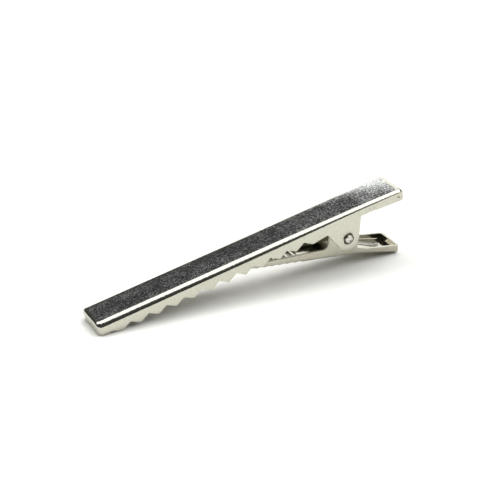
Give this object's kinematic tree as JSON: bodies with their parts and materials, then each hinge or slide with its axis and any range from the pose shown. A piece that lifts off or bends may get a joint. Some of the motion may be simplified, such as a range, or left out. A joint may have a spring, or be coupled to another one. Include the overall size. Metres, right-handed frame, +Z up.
{
  "type": "alligator hair clip",
  "caption": "Flat-top alligator hair clip: a toothed top jaw and a sprung bottom jaw turning on one pin, opened by its finger ends.",
  "frame": {"origin": "on the table, under the middle of the closed clip's box", "axes": "+X from the nose to the finger end, Y across the clip along the hinge pin, +Z up"},
  "size_m": [0.0546, 0.0068, 0.0121],
  "materials": {
    "nickel_sheet": "bright nickel plating on rolled sheet steel, faint orange peel and fine handling marks on the flat top",
    "spring_wire": "nickel-plated drawn spring wire with faint lengthwise draw lines",
    "pin_steel": "bright turned pin with slightly dull end faces"
  },
  "bodies": {
    "bottom_lever": {"bottom_jaw": "nickel_sheet", "hinge_pin": "pin_steel", "torsion_spring": "spring_wire"},
    "top_lever": {"top_jaw": "nickel_sheet"}
  },
  "joints": [
    {"name": "jaw_hinge", "type": "hinge", "parent": "bottom_lever", "child": "top_lever", "pos_m": [0.01653, 0, 0.0055], "axis": [0, 1, 0], "range_deg": [0, 45], "stiffness_Nm_per_rad": 0.039, "springref_deg": -45.84, "deforming": ["torsion_spring"]}
  ]
}
